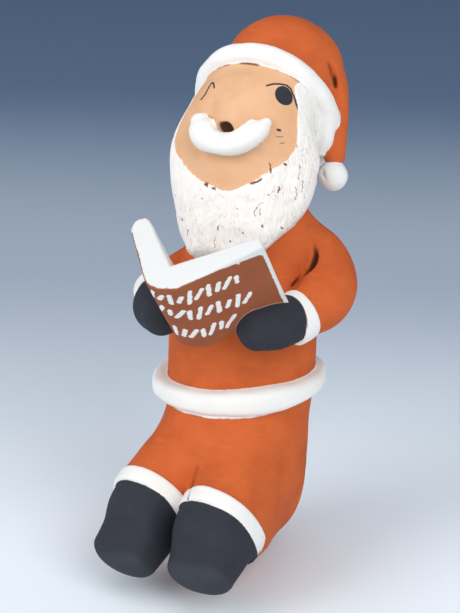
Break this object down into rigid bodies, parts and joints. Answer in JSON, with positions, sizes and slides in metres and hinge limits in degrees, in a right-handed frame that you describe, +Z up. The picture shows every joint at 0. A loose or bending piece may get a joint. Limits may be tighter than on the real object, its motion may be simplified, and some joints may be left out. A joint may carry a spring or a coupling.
{
  "type": "seated storyteller figurine",
  "caption": "Seated fired-clay storyteller figure with a full beard and a stocking cap, leaning back and reading an open book held in mittened hands.",
  "frame": {"origin": "centre of the flat underside of the seat, on the surface that the figure sits on", "axes": "+Z up, the figure faces -Y, its left side is +X"},
  "size_m": [0.0698, 0.1013, 0.165],
  "materials": {
    "slip_painted_clay": "matte hand-painted clay slip: red-orange suit, white trim and beard, charcoal mittens and boots, tan face, brown book cover"
  },
  "bodies": {
    "root": {"storyteller_figure": "slip_painted_clay"}
  },
  "joints": []
}
